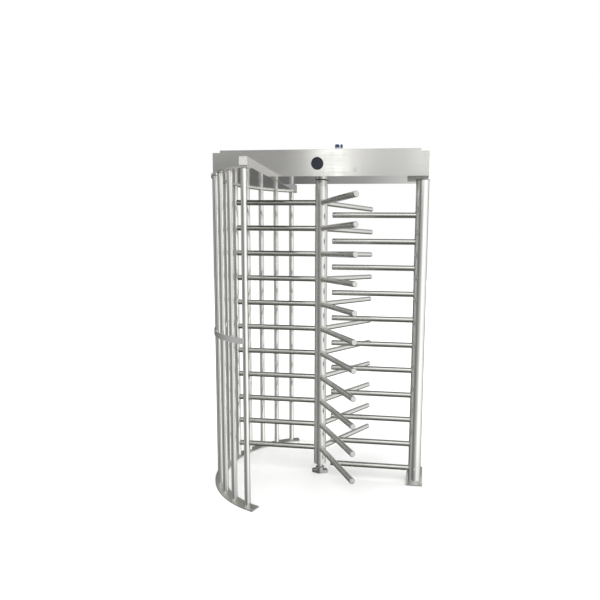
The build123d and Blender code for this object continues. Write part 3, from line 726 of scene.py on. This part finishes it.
def world_lobe(toward, start, end):
    """0 away from a direction, rising smoothly to 1 towards it; start and end are degrees off it."""
    dot = wt.nodes.new("ShaderNodeVectorMath")
    dot.operation = "DOT_PRODUCT"
    dot.inputs[1].default_value = Vector(toward).normalized()
    wt.links.new(direction, dot.inputs[0])
    fade = wt.nodes.new("ShaderNodeMapRange")
    fade.interpolation_type = "SMOOTHSTEP"
    fade.inputs["From Min"].default_value = math.cos(math.radians(start))
    fade.inputs["From Max"].default_value = math.cos(math.radians(end))
    wt.links.new(dot.outputs["Value"], fade.inputs["Value"])
    return fade.outputs["Result"]


def world_mix(factor, a, b):
    mix = wt.nodes.new("ShaderNodeMix")
    mix.data_type = "RGBA"
    wt.links.new(factor, mix.inputs["Factor"])
    for key, value in (("A", a), ("B", b)):
        if isinstance(value, tuple):
            mix.inputs[key].default_value = (*value, 1)
        else:
            wt.links.new(value, mix.inputs[key])
    return mix.outputs["Result"]


# azimuth runs 0 to 1 anticlockwise from behind: 0.25 left, 0.5 entry side, 0.75 right
split = wt.nodes.new("ShaderNodeSeparateXYZ")
wt.links.new(direction, split.inputs[0])
turn = world_math("ARCTAN2", split.outputs["X"], world_math("MULTIPLY", split.outputs["Y"], -1.0))
azimuth = world_math("MULTIPLY_ADD", turn, 0.5 / math.pi, 0.5)


def at(degrees):
    """Position on the azimuth ramp; 0 is the entry side, negative to the left."""
    return 0.5 + degrees / 360


FULL = 2.4      # brightness of the ramp's white
BEHIND_LEFT = [(at(-180), 0.29), (at(-173), 0.15), (at(-166), 0.07), (at(-135), 0.04),
               (at(-112), 0.11), (at(-94), 0.21), (at(-70), 0.22), (at(-45), 0.10),
               (at(-30), 0.075), (at(-22), 0.12), (at(-17), 0.17)]
RIGHT = [(at(40), 0.58), (at(66), 0.62), (at(90), 0.50), (at(112), 0.46), (at(135), 0.28),
         (at(163), 0.15), (at(180), 0.29)]
LEVEL_FRONT = [(at(-8), 0.17), (at(4), 0.22), (at(18), 0.34)]
RAISED_FRONT = [(at(-12.0), 0.16), (at(-10.0), 0.90), (at(-8.6), 0.95), (at(-6.8), 0.34),
                (at(-1.5), 0.32), (at(2), 0.54), (at(14), 0.38)]
LEVEL_ENDS, RAISED_STARTS = 5.0, 8.5    # elevations between which the two are mixed, in degrees
level_light = world_ramp(azimuth, BEHIND_LEFT + LEVEL_FRONT + RIGHT)
raised_light = world_ramp(azimuth, BEHIND_LEFT + RAISED_FRONT + RIGHT)
above = wt.nodes.new("ShaderNodeMapRange")
above.interpolation_type = "SMOOTHSTEP"
above.inputs["From Min"].default_value = math.sin(math.radians(LEVEL_ENDS))
above.inputs["From Max"].default_value = math.sin(math.radians(RAISED_STARTS))
wt.links.new(split.outputs["Z"], above.inputs["Value"])
horizon = world_mix(above.outputs["Result"], level_light, raised_light)
brighten = wt.nodes.new("ShaderNodeVectorMath")
brighten.operation = "SCALE"
brighten.inputs["Scale"].default_value = FULL
wt.links.new(horizon, brighten.inputs[0])
sky = brighten.outputs["Vector"]

# soft patches over the ramps: direction, degrees off it where it starts and is full, colour
PATCHES = {
    "ceiling": ((0, 0, 1), 62, 30, (0.22, 0.22, 0.21)),
    "high left": ((-0.72, -0.30, 0.72), 34, 10, (1.35, 1.35, 1.33)),
    "high entry side": ((0.1, -0.70, 0.72), 32, 14, (1.5, 1.5, 1.5)),
    "behind left": ((-0.64, 0.68, 0.35), 26, 9, (0.46, 0.46, 0.45)),
    "entry side left": ((-0.46, -0.80, 0.39), 17, 7, (1.0, 1.0, 0.98)),
    "ground": ((0, 0, -1), 72, 48, (0.11, 0.11, 0.09)),
}
for toward, start, end, color in PATCHES.values():
    sky = world_mix(world_lobe(toward, start, end), sky, color)
wt.links.new(sky, background.inputs["Color"])

# the photo's viewpoint: on the entry side, almost in front of the post, eye at 1.64 m
EYE = Vector((0.664, -3.609, 1.641))
YAW, PITCH, ROLL = 0.1247, -0.1232, 0.0131
SENSOR_WIDTH, FOCAL_LENGTH = 36.0, 30.45
SHIFT_RIGHT, SHIFT_UP = -0.0827, 0.0273

look = Vector((-math.sin(YAW) * math.cos(PITCH), math.cos(YAW) * math.cos(PITCH), math.sin(PITCH)))
flat_right = Vector((math.cos(YAW), math.sin(YAW), 0))
flat_up = flat_right.cross(look)
right = math.cos(ROLL) * flat_right + math.sin(ROLL) * flat_up
up = -math.sin(ROLL) * flat_right + math.cos(ROLL) * flat_up
lens = bpy.data.cameras.new("camera")
lens.sensor_width = SENSOR_WIDTH
lens.lens = FOCAL_LENGTH
lens.shift_x, lens.shift_y = SHIFT_RIGHT, SHIFT_UP
camera = bpy.data.objects.new("camera", lens)
camera.matrix_world = Matrix.Translation(EYE) @ Matrix((right, up, -look)).transposed().to_4x4()
bpy.context.scene.collection.objects.link(camera)
bpy.context.scene.camera = camera
bpy.context.scene.view_settings.view_transform = "Standard"
